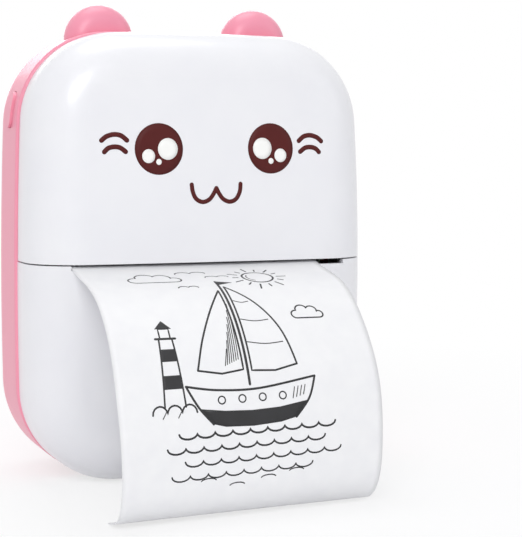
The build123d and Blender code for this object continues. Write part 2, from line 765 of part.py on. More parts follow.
# Paper bay: trough for the roll between two cheeks
with BuildPart() as paper_bay:
    with BuildSketch(Plane.YZ.offset(bay_left_face)):
        with BuildLine():
            arc_size = bay_back_angle - bay_lip_angle
            outer = CenterArc((roll_y, bay_z), bay_outer_radius, bay_lip_angle, arc_size)
            inner = CenterArc((roll_y, bay_z), bay_inner_radius, bay_lip_angle, arc_size)
            Line(outer @ 0, inner @ 0)
            Line(outer @ 1, inner @ 1)
        make_face()
    extrude(amount=bay_right_face - bay_left_face)
    for x0 in (bay_left_face, bay_x1):
        with BuildSketch(Plane.YZ.offset(x0)):
            with Locations((roll_y, bay_z)):
                Circle(bay_outer_radius)
            with Locations((front_y + bay_cheek_from_front - roll_radius, bay_z)):
                Rectangle(2 * roll_radius, case_height, mode=Mode.SUBTRACT)
            with Locations((roll_y, bay_z + bay_cheek_rise + roll_radius)):
                Rectangle(case_depth, 2 * roll_radius, mode=Mode.SUBTRACT)
        extrude(amount=bay_cheek_wall)
    for x, name in bay_bosses:
        rod_y(bay_boss_radius, bay_boss_y, rear_inner_y, x, bay_boss_height)
        rod_y(screw_radius, bay_boss_y + 1, rear_inner_y + 1, x, bay_boss_height,
              mode=Mode.SUBTRACT)
write(paper_bay.part, "paper_bay")

# Case screws from the back
for x, name in case_bosses:
    with BuildPart() as case_screw:
        rod_y(screw_head_radius, case_seat_y, case_seat_y + screw_head, x, case_boss_height)
        rod_y(screw_radius, case_boss_meet - 7, case_seat_y, x, case_boss_height)
    write(case_screw.part, f"case_screw_lower_{name}")
for x, name in bay_bosses:
    with BuildPart() as case_screw:
        rod_y(screw_head_radius, bay_seat_y, bay_seat_y + screw_head - 0.4, x,
              bay_boss_height)
        rod_y(screw_radius, bay_boss_y + 1.4, bay_seat_y, x, bay_boss_height)
    write(case_screw.part, f"case_screw_upper_{name}")

# Paper roll on its cardboard core
with BuildPart() as roll_core:
    rod(core_outer_radius, paper_left, paper_right, roll_y, roll_height)
    rod(core_bore_radius, paper_left, paper_right, roll_y, roll_height,
        mode=Mode.SUBTRACT)
write(roll_core.part, "roll_core")

with BuildPart() as paper_roll:
    rod(roll_radius, paper_left, paper_right, roll_y, roll_height)
    rod(core_outer_radius, paper_left, paper_right, roll_y, roll_height,
        mode=Mode.SUBTRACT)
write(paper_roll.part, "paper_roll")

# Paper inside the printer: off the roll, down the head, round the platen and out
slope = math.tan(math.radians(exit_angle))
slot_y = tear_y - 0.7
wrap_y = platen_y + paper_wrap * math.sin(math.radians(exit_angle))
wrap_z = platen_z - paper_wrap * math.cos(math.radians(exit_angle))
slot_z = wrap_z - (wrap_y - slot_y) * slope
turn_z = wrap_z + (paper_back_y - wrap_y) * slope
bend_z = heatsink_high + 0.4
to_roll_y = roll_y - paper_back_y
to_roll_z = roll_height - bend_z
to_roll = math.hypot(to_roll_y, to_roll_z)
off_radius = roll_radius + 0.15 + paper_thickness / 2
tangent = math.sqrt(to_roll ** 2 - off_radius ** 2)
lean = math.atan2(to_roll_z, to_roll_y) + math.asin(off_radius / to_roll)
roll_off = (paper_back_y + tangent * math.cos(lean), bend_z + tangent * math.sin(lean))
with BuildPart() as paper_web:
    with BuildSketch(Plane.YZ.offset(paper_left)):
        with BuildLine() as web_line:
            FilletPolyline(roll_off, (paper_back_y, bend_z), (paper_back_y, turn_z),
                           (slot_y, slot_z), radius=[0.45 * tangent, paper_wrap])
        trace(line_width=paper_thickness)
    extrude(amount=paper_width)
write(paper_web.part, "paper_web")

# Printed paper outside: bulges forward, falls and curls back under at the table
# Each point is its reach in front of the casing and its share of the slot's height
left_edge = [(14.8, 0.918), (26.3, 0.745), (32.9, 0.473), (35.7, 0.218), (32.9, 0.052)]
right_edge = [(11.8, 0.931), (23.0, 0.757), (29.7, 0.535), (31.1, 0.284), (28.3, 0.071)]


def sheet_edge(points, end_reach, x):
    """Thin side face of the hanging paper at one edge of the sheet."""
    route = [(slot_y, slot_z)]
    route += [(front_y - reach, share * slot_z) for reach, share in points]
    route.append((front_y - end_reach, paper_thickness))
    half = paper_thickness / 2
    directions = []
    for index in range(len(route)):
        before = route[max(index - 1, 0)]
        after = route[min(index + 1, len(route) - 1)]
        size = math.hypot(after[0] - before[0], after[1] - before[1])
        directions.append(((after[0] - before[0]) / size, (after[1] - before[1]) / size))
    directions[0] = (-math.cos(math.radians(exit_angle)), -math.sin(math.radians(exit_angle)))
    directions[-1] = (math.cos(math.radians(4)), -math.sin(math.radians(4)))
    upper = [(y - dz * half, z + dy * half) for (y, z), (dy, dz) in zip(route, directions)]
    lower = [(y + dz * half, z - dy * half) for (y, z), (dy, dz) in zip(route, directions)]
    ends = [directions[0], directions[-1]]
    with BuildSketch(Plane.YZ.offset(x)) as side:
        with BuildLine():
            Spline(*upper, tangents=ends)
            Spline(*lower, tangents=ends)
            Line(upper[0], lower[0])
            Line(upper[-1], lower[-1])
        make_face()
    return side.sketch


with BuildPart() as paper_tongue:
    loft([sheet_edge(left_edge, 26.1, paper_left), sheet_edge(right_edge, 23.1, paper_right)],
         ruled=True)
write(paper_tongue.part, "paper_tongue")

# Main board on its pegs, with chips, port and status light
with BuildPart() as main_board:
    with BuildSketch(Plane.XZ.offset(-board_back_y)):
        with Locations((0, (board_low + board_high) / 2)):
            RectangleRounded(board_width, board_high - board_low, 2.5)
        with Locations(*board_posts):
            Circle(board_peg_radius + 0.1, mode=Mode.SUBTRACT)
    extrude(amount=board_thickness)
write(main_board.part, "main_board")

# Chips: place along the board, drop below its upper edge, width, height and rise
chips = (
    ("controller_chip", 8 - board_width / 2, 3.2, 5.0, 5.0, 0.9),
    ("driver_chip", -8.0, 2.4, 6.0, 3.6, 1.1),
    ("battery_socket", 10.0, 2.5, 6.0, 4.0, 3.4),
)
for name, x, drop, width, height, rise in chips:
    z = board_high - drop
    with BuildPart() as chip:
        block(x - width / 2, x + width / 2, board_y - rise, board_y, z - height / 2,
              z + height / 2)
    write(chip.part, name)

with BuildPart() as usb_socket:
    usb_x1 = port_x
    usb_x0 = usb_x1 - usb_length
    pill(usb_x0, usb_x1, usb_y, usb_height, usb_width, usb_depth)
    pill(usb_x0 + 1.2, usb_x1, usb_y, usb_height, usb_width - 0.6, usb_depth - 0.6,
         mode=Mode.SUBTRACT)
    block(usb_x0 + 1.2, usb_x1 - 0.8, usb_y - 0.35, usb_y + 0.35, usb_height - 3.2,
          usb_height + 3.2)
write(usb_socket.part, "usb_socket")

with BuildPart() as status_led:
    block(board_width / 2 - 3.2, board_width / 2 - 0.4, led_y - 1.0, board_y,
          led_height - 1.2, led_height + 1.2)
write(status_led.part, "status_led")

with BuildPart() as light_pipe:
    pipe_x0 = board_width / 2 - 0.2
    rod(led_radius, pipe_x0, case_width / 2 + 0.05, led_y, led_height)
    rod(led_radius + 0.7, port_x - 0.9, port_x, led_y, led_height)
write(light_pipe.part, "light_pipe")

# Battery with its foam pad
with BuildPart() as battery:
    battery_y1 = board_y - battery_pad
    block(-battery_width / 2, battery_width / 2, battery_y1 - battery_thickness, battery_y1,
          battery_low, battery_high)
    fillet(battery.edges().filter_by(Axis.Z), 2.4)
write(battery.part, "battery")

with BuildPart() as battery_foam:
    block(-battery_width / 2 + 4, battery_width / 2 - 4, battery_y1, board_y,
          board_low + 1, board_high - 6)
write(battery_foam.part, "battery_foam")

# Power button: pink pill that follows the casing, pressing a switch on its own small board
outer_form = rear_form(-button_proud)
flange_outer = rear_form(wall + 0.2)
flange_inner = rear_form(wall + 0.2 + flange_thickness)
flange_length = button_length + 2 * flange_margin
flange_width = button_width + 2 * flange_margin
key_board_x1 = bay_left_face
key_board_x0 = key_board_x1 - 0.8
switch_x0 = key_board_x0 - 1.6
switch_z = power_button_height - 1.0
plunger_end = switch_x0 - power_travel - 0.2
with BuildPart() as power_flange:
    pill(-case_width, -side_inner_x + 6, button_y, power_button_height,
         flange_length, flange_width)
    add(flange_outer, mode=Mode.INTERSECT)
    add(flange_inner, mode=Mode.SUBTRACT)
with BuildPart() as power_button:
    pill(-case_width, -side_inner_x + 6, button_y, power_button_height,
             button_length, button_width)
    add(outer_form, mode=Mode.INTERSECT)
    add(flange_inner, mode=Mode.SUBTRACT)
    add(power_flange.part)
    block(plunger_end, switch_x0 + 6, button_y - 2.4, button_y + 2.4, switch_z - 2.4,
          switch_z + 2.4, mode=Mode.SUBTRACT)
    rod(1.5, -side_inner_x + 0.7, plunger_end, button_y, switch_z)
    rod(1.1, plunger_end, switch_x0 + 6, button_y, switch_z, mode=Mode.SUBTRACT)
write(power_button.part, "power_button")

with BuildPart() as key_plunger:
    rod(1.0, plunger_end, switch_x0 + 0.3, button_y, switch_z)
write(key_plunger.part, "key_plunger")

with BuildPart() as key_switch:
    block(switch_x0, key_board_x0, button_y - 2.1, button_y + 2.1, switch_z - 2.1,
          switch_z + 2.1)
    rod(1.1, switch_x0, switch_x0 + 1.0, button_y, switch_z, mode=Mode.SUBTRACT)
write(key_switch.part, "key_switch")

with BuildPart() as key_board:
    block(key_board_x0, key_board_x1, button_y - 4, button_y + 4, switch_z - 5,
          switch_z + 4)
write(key_board.part, "key_board")

# Release button: pill with a slider whose nib holds the tooth of the cover
with BuildPart() as release_flange:
    pill(side_inner_x - 6, case_width, release_y, release_button_height,
         flange_length, flange_width)
    add(flange_outer, mode=Mode.INTERSECT)
    add(flange_inner, mode=Mode.SUBTRACT)
with BuildPart() as release_button:
    pill(side_inner_x - 6, case_width, release_y, release_button_height, button_length,
         button_width)
    add(outer_form, mode=Mode.INTERSECT)
    add(flange_inner, mode=Mode.SUBTRACT)
    add(release_flange.part)
    block(slider_x0, flange_x0 + 0.3, slider_y0, slider_y0 + slider_thickness, catch_z0,
          catch_z1)
    block(slider_x0, slider_x0 + catch_arm, nib_y1 - catch_depth, slider_y0 + 0.5, catch_z0,
          catch_z1)
    block(slider_x0, nib_x1, nib_y1 - catch_depth, nib_y1, catch_z0, catch_z1)
write(release_button.part, "release_button")
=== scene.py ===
import json
import math

import bmesh
import bpy
import numpy as np
from mathutils import Matrix, Vector
from mathutils.bvhtree import BVHTree
from mathutils.geometry import tessellate_polygon


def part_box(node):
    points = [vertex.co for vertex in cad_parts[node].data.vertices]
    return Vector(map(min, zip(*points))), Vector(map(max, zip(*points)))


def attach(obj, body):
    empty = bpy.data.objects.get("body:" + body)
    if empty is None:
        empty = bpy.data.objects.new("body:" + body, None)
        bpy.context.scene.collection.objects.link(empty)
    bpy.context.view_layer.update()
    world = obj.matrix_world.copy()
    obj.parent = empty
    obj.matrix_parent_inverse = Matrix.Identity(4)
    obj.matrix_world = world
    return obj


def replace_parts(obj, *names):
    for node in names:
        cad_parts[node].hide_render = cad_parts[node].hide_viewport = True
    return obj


# %% [markdown]
# A pocket thermal printer: a pink rear shell with two small ears, a white front whose
# upper half swings open, and a strip of printed paper that hangs out of the slot.
# The solids come in as a fixed frame. This script gives them their finishes and adds
# what a solid model leaves out: the printed face, the paper's bend and its drawing,
# the crosses and threads of screws, and the small parts on the board.

# %% Load the frame
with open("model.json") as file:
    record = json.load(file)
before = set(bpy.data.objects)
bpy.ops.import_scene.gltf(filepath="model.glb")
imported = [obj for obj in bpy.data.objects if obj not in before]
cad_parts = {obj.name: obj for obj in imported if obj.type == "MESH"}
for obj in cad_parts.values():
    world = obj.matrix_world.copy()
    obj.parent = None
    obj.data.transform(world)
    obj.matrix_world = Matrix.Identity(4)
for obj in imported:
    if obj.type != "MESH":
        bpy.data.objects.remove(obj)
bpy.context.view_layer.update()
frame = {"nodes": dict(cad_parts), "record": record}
nodes = frame["nodes"]
MM = 0.001

# %% [markdown]
# The camera stands a little to the left of the printer, level with the eyes of its face,
# so upright edges stay upright. The printer sits high in the picture, which is a shift of
# the lens and not a tilt.

# %% Camera
camera_data = bpy.data.cameras.new("camera")
camera_data.lens = 99.4
camera_data.sensor_width = 36.0
camera_data.shift_x = 0.0845
camera_data.shift_y = -0.217
camera_data.clip_start = 0.01
camera = bpy.data.objects.new("camera", camera_data)
camera.location = (-0.1129, -0.3242, 0.0725)
camera.rotation_euler = (math.radians(90), 0, math.radians(-20.45))
bpy.context.scene.collection.objects.link(camera)
bpy.context.scene.camera = camera
print("camera lens:", camera_data.lens)


# %% [markdown]
# Colours are written as they look on a screen, and Blender wants them linear. Every
# finish is a Principled shader: numbers that are the same all over sit on its own
# sockets, and noise in the object's own coordinates varies the rest a little, because
# no real surface is perfectly even.

# %% Helpers for finishes
def tint(code):
    """Linear colour for a screen colour such as F3A3B7."""
    channels = [int(code[i:i + 2], 16) / 255 for i in (0, 2, 4)]
    return [c / 12.92 if c <= 0.04045 else ((c + 0.055) / 1.055) ** 2.4 for c in channels] + [1.0]


def new_finish(name, **sockets):
    """Material whose plain numbers sit on the shader itself."""
    material = bpy.data.materials.new(name)
    material.use_nodes = True
    shader = material.node_tree.nodes["Principled BSDF"]
    for socket, value in sockets.items():
        shader.inputs[socket.replace("_", " ")].default_value = value
    return material, material.node_tree, shader


def noise(tree, size, detail=3.0, stretch=(1, 1, 1)):
    """Noise whose blotches are about size metres across, stretched along an axis."""
    place = tree.nodes.new("ShaderNodeTexCoord")
    mapping = tree.nodes.new("ShaderNodeMapping")
    mapping.inputs["Scale"].default_value = [1 / s for s in stretch]
    texture = tree.nodes.new("ShaderNodeTexNoise")
    texture.inputs["Scale"].default_value = 1 / size
    texture.inputs["Detail"].default_value = detail
    tree.links.new(place.outputs["Object"], mapping.inputs["Vector"])
    tree.links.new(mapping.outputs["Vector"], texture.inputs["Vector"])
    return texture.outputs["Fac"]


def between(tree, fac, low, high, socket, start=0.3, end=0.7):
    """Feeds a socket with a number between low and high."""
    spread = tree.nodes.new("ShaderNodeMapRange")
    spread.inputs["From Min"].default_value = start
    spread.inputs["From Max"].default_value = end
    spread.inputs["To Min"].default_value = low
    spread.inputs["To Max"].default_value = high
    tree.links.new(fac, spread.inputs["Value"])
    tree.links.new(spread.outputs["Result"], socket)


def colours(tree, fac, stops, socket):
    """Feeds a colour socket from a ramp of (place, screen colour)."""
    ramp = tree.nodes.new("ShaderNodeValToRGB")
    for index, (place, code) in enumerate(stops):
        if index > 1:
            ramp.color_ramp.elements.new(place)
        ramp.color_ramp.elements[index].position = place
        ramp.color_ramp.elements[index].color = tint(code)
    tree.links.new(fac, ramp.inputs["Fac"])
    tree.links.new(ramp.outputs["Color"], socket)


def bump(tree, shader, layers):
    """Bumps on top of each other; each layer is (height output, depth in metres, strength)."""
    last = None
    for height, depth, strength in layers:
        node = tree.nodes.new("ShaderNodeBump")
        node.inputs["Distance"].default_value = depth
        node.inputs["Strength"].default_value = strength
        tree.links.new(height, node.inputs["Height"])
        if last is not None:
            tree.links.new(last.outputs["Normal"], node.inputs["Normal"])
        last = node
    tree.links.new(last.outputs["Normal"], shader.inputs["Normal"])


print("white is", [round(v, 3) for v in tint("F4F4F7")[:3]])


# %% [markdown]
# The casing is moulded plastic with a soft gloss. Polished steel moulds leave a surface
# that is nearly smooth, with a slow ripple about 3 mm across and a very fine grain.

# %% Moulded plastics
def moulded(name, dark, light, rough, gloss=0.25, grain=0.25):
    """Injection-moulded plastic: two close tones, a slow ripple and a fine grain."""
    material, tree, shader = new_finish(name, Coat_Weight=gloss, Coat_Roughness=0.12)
    slow = noise(tree, 0.012)
    fine = noise(tree, 0.00022, 2.0)
    colours(tree, slow, [(0.3, dark), (0.7, light)], shader.inputs["Base Color"])
    between(tree, slow, rough - 0.03, rough + 0.04, shader.inputs["Roughness"])
    bump(tree, shader, [(noise(tree, 0.004, 1.0), 0.00004, 0.12), (fine, 0.00002, grain)])
    return material


finishes = {
    "pink_plastic": moulded("pink_shell", "F498AF", "F69CB2", 0.4, 0.12),
    "white_plastic": moulded("white_shell", "F0F0F4", "F3F3F6", 0.33),
    "black_plastic": moulded("black_moulding", "1D1D20", "242427", 0.5, 0.0, 0.6),
    "grey_plastic": moulded("grey_moulding", "8E9196", "989BA0", 0.5, 0.0, 0.6),
    "white_gear": moulded("acetal", "E9E6DC", "F0EEE6", 0.42, 0.05, 0.4),
    "clear_plastic": moulded("light_pipe", "E6EAF2", "F2F5FA", 0.2, 0.4, 0.1),
    "chip": moulded("chip_package", "1A1A1D", "222226", 0.55, 0.0, 0.8),
}
print("plastics:", sorted(finishes))


# %% [markdown]
# Metals show how they were made. Turned and rolled steel carries fine lines along one
# way, so its noise is stretched, and the lines go to both the roughness and the bump.

# %% Metals
def worked_metal(name, dark, light, rough, stretch=(60, 1, 1), depth=0.00001):
    """Metal with fine lines along the stretched axis."""
    material, tree, shader = new_finish(name, Metallic=1.0)
    lines = noise(tree, 0.00016, 2.0, stretch)
    colours(tree, noise(tree, 0.003), [(0.3, dark), (0.7, light)], shader.inputs["Base Color"])
    between(tree, lines, rough - 0.07, rough + 0.09, shader.inputs["Roughness"])
    bump(tree, shader, [(lines, depth, 0.5)])
    return material


finishes["steel"] = worked_metal("rolled_steel", "B9BBBF", "CBCDD0", 0.3)
finishes["dark_steel"] = worked_metal("blackened_steel", "4A4A4E", "5A5A5E", 0.38, (1, 1, 1))
finishes["aluminium"] = worked_metal("extruded_aluminium", "D2D3D5", "DEDFE0", 0.36)
finishes["bronze"] = worked_metal("sintered_bronze", "A88550", "BD9A62", 0.45, (1, 1, 1))
print("metals:", "steel", "dark_steel", "aluminium", "bronze")


# %% [markdown]
# The soft and brittle materials: ground rubber is matt with a fine tooth, foam is full
# of small cells, the heater strip is glazed, the cell is wrapped in crinkled foil, and
# card and paper show their fibres.

# %% Rubber, foam, foil, ceramic, paper and card
def matt(name, dark, light, rough, layers, patch=0.004, **sockets):
    """Plain surface: two tones in patches and bumps of (size, depth, strength, stretch)."""
    material, tree, shader = new_finish(name, **sockets)
    tone = noise(tree, patch)
    colours(tree, tone, [(0.3, dark), (0.7, light)], shader.inputs["Base Color"])
    between(tree, tone, rough - 0.04, rough + 0.04, shader.inputs["Roughness"])
    bump(tree, shader, [(noise(tree, size, 3.0, stretch), depth, strength)
                        for size, depth, strength, stretch in layers])
    return material


even = (1, 1, 1)
finishes["rubber"] = matt("ground_rubber", "1E1E20", "29292B", 0.7, [(0.0002, 0.00002, 0.7, even)])
finishes["foam"] = matt("cell_foam", "2C2C2E", "3B3B3D", 0.9, [(0.0005, 0.0002, 1.0, even)])
finishes["foil"] = matt("pouch_foil", "A9ADB4", "BCC0C6", 0.32,
                        [(0.003, 0.0003, 0.3, even)], Metallic=0.85)
finishes["ceramic"] = matt("glazed_ceramic", "E4E2D6", "EDEBE1", 0.14,
                           [(0.002, 0.00002, 0.2, even)], Coat_Weight=0.5)
finishes["paper"] = matt("thermal_paper", "F3F3F5", "F7F7F8", 0.55,
                         [(0.0006, 0.00001, 0.3, (3, 1, 1)), (0.006, 0.00004, 0.12, even)])
finishes["card"] = matt("green_core", "3E9A5B", "4CA969", 0.75, [(0.0005, 0.00003, 0.6, (4, 1, 1))])
print("finishes so far:", len(finishes))


# %% [markdown]
# A circuit board is green lacquer over copper. Thin copper tracks lift the lacquer a
# little and look lighter, so a brick pattern with hairline joints stands for the tracks.

# %% Circuit board
def circuit_board():
    """Green solder mask with paler tracks and a speckle of the glass cloth below."""
    material, tree, shader = new_finish("solder_mask", Roughness=0.3, Coat_Weight=0.4)
    place = tree.nodes.new("ShaderNodeTexCoord")
    turn = tree.nodes.new("ShaderNodeMapping")
    turn.inputs["Rotation"].default_value = (math.radians(90), 0, 0)
    bricks = tree.nodes.new("ShaderNodeTexBrick")
    bricks.inputs["Color1"].default_value = tint("1F6B41")
    bricks.inputs["Color2"].default_value = tint("24744A")
    bricks.inputs["Mortar"].default_value = tint("4F9A6C")
    bricks.inputs["Scale"].default_value = 260.0
    bricks.inputs["Mortar Size"].default_value = 0.035
    bricks.inputs["Brick Width"].default_value = 1.7
    bricks.inputs["Row Height"].default_value = 0.32
    tree.links.new(place.outputs["Object"], turn.inputs["Vector"])
    tree.links.new(turn.outputs["Vector"], bricks.inputs["Vector"])
    tree.links.new(bricks.outputs["Color"], shader.inputs["Base Color"])
    bump(tree, shader, [(bricks.outputs["Fac"], 0.00003, 0.5), (noise(tree, 0.0004), 0.00002, 0.2)])
    return material


finishes["board"] = circuit_board()
print("slots with a finish:", sorted(finishes))

# %% [markdown]
# Each solid names the material it is made of, so the finishes go on by that name. The
# solids themselves are never moved or changed.

# %% Finish every solid
slot_of = {part["node"]: part["material_slot"] for part in frame["record"]["subparts"]}
for name, node in nodes.items():
    node.data.materials.clear()
    node.data.materials.append(finishes[slot_of[name]])
print("nodes with a finish:", len(nodes))


# %% [markdown]
# Added pieces are meshes made from points and faces. A finished piece has its place in
# its own mesh and rides on one body.

# %% Helper that finishes a piece
def piece(name, points, faces, material, body, slot, smooth=True):
    """Closed mesh from points in metres, riding on a body of the frame."""
    mesh = bpy.data.meshes.new(name)
    mesh.from_pydata([tuple(p) for p in points], [], faces)
    mesh.validate()
    mesh.materials.append(material)
    work = bmesh.new()
    work.from_mesh(mesh)
    bmesh.ops.remove_doubles(work, verts=work.verts, dist=1e-8)
    bmesh.ops.recalc_face_normals(work, faces=work.faces)
    work.to_mesh(mesh)
    work.free()
    for polygon in mesh.polygons:
        polygon.use_smooth = smooth
    made = bpy.data.objects.new(name, mesh)
    bpy.context.scene.collection.objects.link(made)
    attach(made, body)
    print(name, "faces:", len(mesh.polygons))
    return made


# %% [markdown]
# The face is printed on the cover: two round eyes with three white glints each, a small
# mouth like a w, and two short curved strokes beside each eye. Pad printing leaves a film
# a few hundredths of a millimetre thick, so each mark is a thin closed film that is laid
# on the crowned cover by casting rays at it.

# %% Films that lie on the cover
cover_mesh = nodes["paper_cover"].data
cover_tree = BVHTree.FromPolygons([v.co for v in cover_mesh.vertices],
                                  [p.vertices for p in cover_mesh.polygons])
EYE_LEVEL = 73.1
FACE_MIDDLE = 0.5
FILM_LOW, FILM_HIGH = 0.004, 0.03


def on_cover(x, height, lift):
    """Point lift millimetres in front of the cover, at x and a height from the face's middle."""
    start = Vector((FACE_MIDDLE + x, -40.0, EYE_LEVEL + height)) * MM
    hit = cover_tree.ray_cast(start, Vector((0, 1, 0)))[0]
    return Vector((hit.x, hit.y - lift * MM, hit.z))


def film(outline, place, low, high, rings=4):
    """Closed film inside an outline: (points, faces), from its middle out in rings."""
    count = len(outline)
    middle = (sum(p[0] for p in outline) / count, sum(p[1] for p in outline) / count)
    points, faces = [], []
    for lift in (high, low):
        points.append(place(*middle, lift))
        for ring in range(1, rings + 1):
            share = ring / rings
            points += [place(middle[0] + (x - middle[0]) * share,
                             middle[1] + (y - middle[1]) * share, lift) for x, y in outline]
    layer = 1 + rings * count
    for base in (0, layer):
        for i in range(count):
            j = (i + 1) % count
            faces.append((base, base + 1 + i, base + 1 + j))
            for ring in range(rings - 1):
                a = base + 1 + ring * count
                faces.append((a + i, a + count + i, a + count + j, a + j))
    rim = 1 + (rings - 1) * count
    for i in range(count):
        j = (i + 1) % count
        faces.append((rim + i, layer + rim + i, layer + rim + j, rim + j))
    return points, faces


def ribbon(line, width, place, low, high):
    """Closed flat stroke along a line, with round ends: (points, faces)."""
    line = [Vector((x, y)) for x, y in line]
    sides = []
    for index, point in enumerate(line):
        along = (line[min(index + 1, len(line) - 1)] - line[max(index - 1, 0)]).normalized()
        across = Vector((-along.y, along.x)) * width / 2
        sides.append((point + across, point - across))
    left = [a for a, b in sides]
    right = [b for a, b in sides]
    caps = []
    for point, edge in ((line[-1], left[-1]), (line[0], right[0])):
        arm = edge - point
        turns = [-math.pi * step / 6 for step in range(1, 6)]
        caps.append([point + Matrix.Rotation(turn, 2) @ arm for turn in turns])
    steps = len(line)
    points, faces = [], []
    flat = left + right + caps[0] + caps[1]
    for lift in (high, low):
        points += [place(p.x, p.y, lift) for p in flat]
    layer = len(flat)
    end_cap = [steps - 1] + list(range(2 * steps, 2 * steps + 5)) + [2 * steps - 1]
    start_cap = [steps] + list(range(2 * steps + 5, 2 * steps + 10)) + [0]
    for base in (0, layer):
        for i in range(steps - 1):
            faces.append((base + i, base + i + 1, base + steps + i + 1, base + steps + i))
        faces.append([base + v for v in end_cap])
        faces.append([base + v for v in start_cap])
    rim = list(range(steps)) + end_cap[1:-1] + list(range(2 * steps - 1, steps - 1, -1))
    rim += start_cap[1:-1]
    for a, b in zip(rim, rim[1:] + rim[:1]):
        faces.append((a, b, layer + b, layer + a))
    return points, faces


def gather(parts):
    """Joins (points, faces) lists into one."""
    points, faces = [], []
    for more_points, more_faces in parts:
        base = len(points)
        points += more_points
        faces += [[base + v for v in face] for face in more_faces]
    return points, faces


def oval(x, height, wide, high, steps=48):
    """Outline of an upright oval."""
    return [(x + wide * math.cos(2 * math.pi * i / steps),
             height + high * math.sin(2 * math.pi * i / steps)) for i in range(steps)]


def smooth_line(corners, steps=10):
    """Curve through the corners."""
    ends = [corners[0]] + list(corners) + [corners[-1]]
    line = []
    for a, b, c, d in zip(ends, ends[1:], ends[2:], ends[3:]):
        for step in range(steps):
            t = step / steps
            line.append(tuple(
                0.5 * (2 * q + (r - p) * t + (2 * p - 5 * q + 4 * r - s) * t * t
                       + (3 * q - p - 3 * r + s) * t ** 3)
                for p, q, r, s in zip(a, b, c, d)))
    return line + [tuple(corners[-1])]


print("eye level at", EYE_LEVEL, "mm")

# %% [markdown]
# The marks of the face, in millimetres from its middle and from eye level. The dark brown
# ink goes on first and the white glints over it. Brows are given for the right side and
# mirrored, and where the two halves of the mouth meet, one lies a hair above the other.

# %% The face
brown_ink = matt("brown_ink", "521B1A", "571E1D", 0.5, [(0.0003, 0.000004, 0.3, even)],
                 Specular_IOR_Level=0.2)
white_ink = matt("white_ink", "FBFBF8", "FFFFFC", 0.4, [(0.0003, 0.000004, 0.3, even)])
EYES = ((-12.95, 0.05), (13.15, 0.2))
GLINTS = ((-2.0, 0.0, 2.25), (2.35, -1.55, 1.45), (0.05, -2.8, 0.62))
MOUTH = ((-5.6, -7.7), (-5.35, -9.3), (-4.6, -10.8), (-3.1, -11.5), (-1.6, -11.0), (-0.6, -9.8),
         (0.1, -8.5))
MOUTH_RIGHT = ((0.1, -8.5), (0.8, -9.8), (1.7, -10.9), (3.2, -11.5), (4.7, -10.9), (5.6, -9.3),
               (5.8, -7.6))
BROWS = (((20.1, 1.9), (21.4, 2.9), (23.0, 3.15), (24.6, 2.7), (25.7, 1.85)),
         ((20.4, -0.55), (21.6, 0.3), (22.9, 0.5), (24.2, 0.2), (25.1, -0.6)))
EYE_HALF_WIDTH, EYE_HALF_HEIGHT = 5.45, 5.6
GLINT_LOW, GLINT_HIGH = 0.026, 0.045
marks = []
for x, h in EYES:
    marks.append(film(oval(x, h, EYE_HALF_WIDTH, EYE_HALF_HEIGHT), on_cover, FILM_LOW, FILM_HIGH))
for line in (MOUTH, MOUTH_RIGHT):
    above = FILM_HIGH + 0.002 * len(marks)
    marks.append(ribbon(smooth_line(line), 0.95, on_cover, FILM_LOW, above))
for side in (-1, 1):
    for brow in BROWS:
        line = smooth_line([(side * x, h) for x, h in brow])
        marks.append(ribbon(line, 1.05, on_cover, FILM_LOW, FILM_HIGH))
piece("face_print", *gather(marks), brown_ink, "cover", "black_plastic")
glints = []
for (x, h), side in zip(EYES, (-1, 1)):
    for across, up, radius in GLINTS:
        shape = oval(x + side * across, h + up, radius, radius * 1.05, 32)
        glints.append(film(shape, on_cover, GLINT_LOW, GLINT_HIGH, 2))
piece("eye_glints", *gather(glints), white_ink, "cover", "white_plastic")


# %% [markdown]
# The paper comes out of the slot nearly level, swells forward, falls to the table and
# curls back under, a little more on its left edge than on its right. Each edge is one
# smooth curve through a few points, given as millimetres in front of the casing and as
# shares of the slot's height. The sheet is stretched between the two edges, so every
# point of it has two numbers, across and down, which the drawing uses too.

# %% The hanging paper
def smooth_edge(route, start_way, end_way, count):
    """Points evenly spaced along the cubic spline through a route, given its end ways."""
    route = np.array(route, float)
    knots = np.concatenate([[0], np.cumsum(np.linalg.norm(np.diff(route, axis=0), axis=1))])
    gaps = np.diff(knots)
    size = len(route)
    table = np.zeros((size, size))
    right = np.zeros((size, 2))
    table[0, 0] = table[-1, -1] = 1
    right[0], right[-1] = start_way, end_way
    for i in range(1, size - 1):
        table[i, i - 1:i + 2] = gaps[i], 2 * (gaps[i - 1] + gaps[i]), gaps[i - 1]
        right[i] = 3 * (gaps[i] * (route[i] - route[i - 1]) / gaps[i - 1]
                        + gaps[i - 1] * (route[i + 1] - route[i]) / gaps[i])
    ways = np.linalg.solve(table, right)
    fine = np.linspace(0, knots[-1], 1201)
    which = np.clip(np.searchsorted(knots, fine, side="right") - 1, 0, size - 2)
    gap = gaps[which][:, None]
    t = ((fine - knots[which]) / gaps[which])[:, None]
    curve = ((1 + 2 * t) * (1 - t) ** 2 * route[which] + t * (1 - t) ** 2 * gap * ways[which]
             + t * t * (3 - 2 * t) * route[which + 1] + t * t * (t - 1) * gap * ways[which + 1])
    run = np.concatenate([[0], np.cumsum(np.linalg.norm(np.diff(curve, axis=0), axis=1))])
    even_run = np.linspace(0, run[-1], count)
    return np.stack([np.interp(even_run, run, curve[:, k]) for k in (0, 1)], 1), run[-1]


